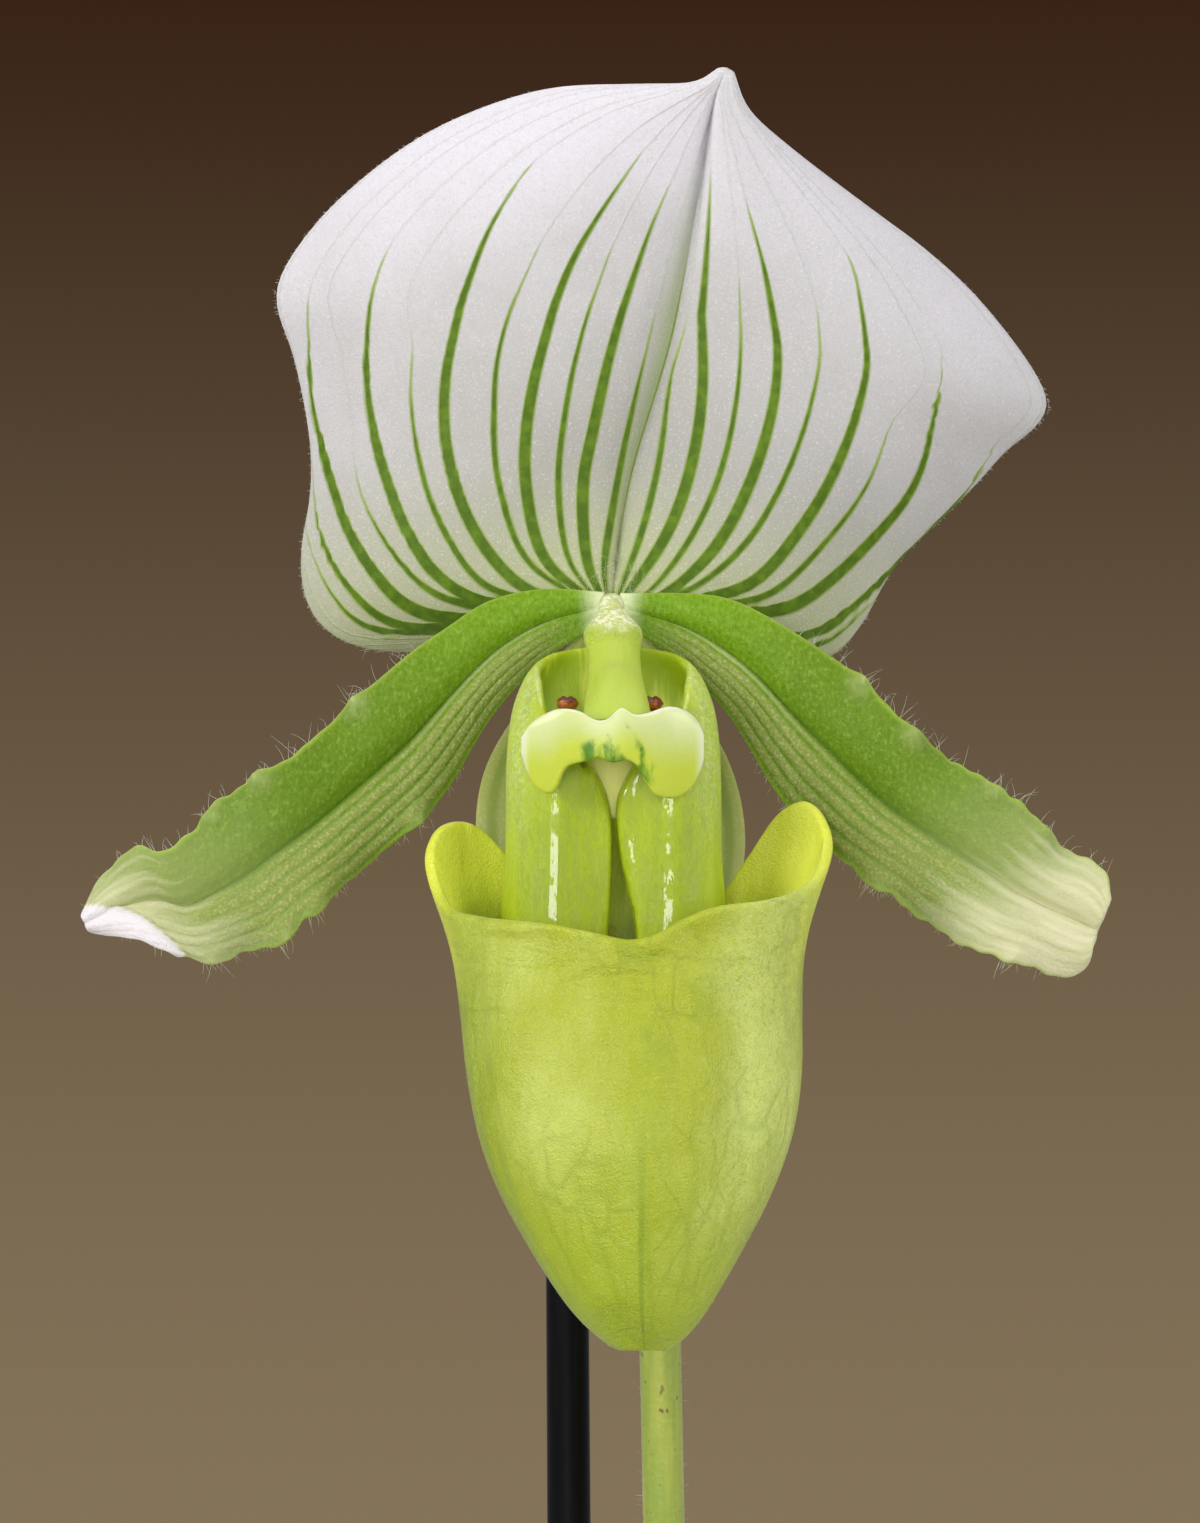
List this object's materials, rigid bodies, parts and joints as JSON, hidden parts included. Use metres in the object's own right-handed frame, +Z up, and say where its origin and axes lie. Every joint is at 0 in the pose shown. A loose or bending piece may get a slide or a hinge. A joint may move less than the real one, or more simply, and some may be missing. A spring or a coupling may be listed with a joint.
{
  "type": "potted slipper orchid",
  "caption": "Potted slipper orchid in bloom: a white dorsal sepal striped green, drooping green petals and a yellow-green pouch on a staked stem over mottled leaves in a clay pot.",
  "frame": {"origin": "centre of the pot's underside, on the surface the pot stands on", "axes": "+Z up, along the stem; the bloom faces -Y; +X to the right as the bloom is looked at"},
  "size_m": [0.2398, 0.1316, 0.4168],
  "materials": {
    "terracotta": "matte",
    "bark_mix": "matte",
    "stake_black": "gloss",
    "clip_green": "satin",
    "stem_green": "matte",
    "ovary_green": "matte",
    "bract_green": "matte",
    "leaf_mottled": "satin",
    "young_leaf_mottled": "satin",
    "sepal_white": "matte",
    "synsepal_pale": "matte",
    "petal_green": "satin",
    "lip_green": "satin",
    "column_green": "satin",
    "shield_pale": "satin",
    "anther_brown": "satin"
  },
  "bodies": {
    "root": {"anther_left": "anther_brown", "anther_right": "anther_brown", "column": "column_green", "dorsal_sepal": "sepal_white", "floral_bract": "bract_green", "flower_stem": "stem_green", "leaf_1": "leaf_mottled", "leaf_2": "leaf_mottled", "leaf_3": "leaf_mottled", "leaf_4": "leaf_mottled", "leaf_5": "leaf_mottled", "leaf_6": "leaf_mottled", "lip_pouch": "lip_green", "ovary": "ovary_green", "petal_left": "petal_green", "petal_right": "petal_green", "pot": "terracotta", "potting_mix": "bark_mix", "stake": "stake_black", "staminode": "shield_pale", "stem_clip": "clip_green", "synsepal": "synsepal_pale", "young_leaf_1": "young_leaf_mottled", "young_leaf_2": "young_leaf_mottled", "young_leaf_3": "young_leaf_mottled"}
  },
  "joints": []
}
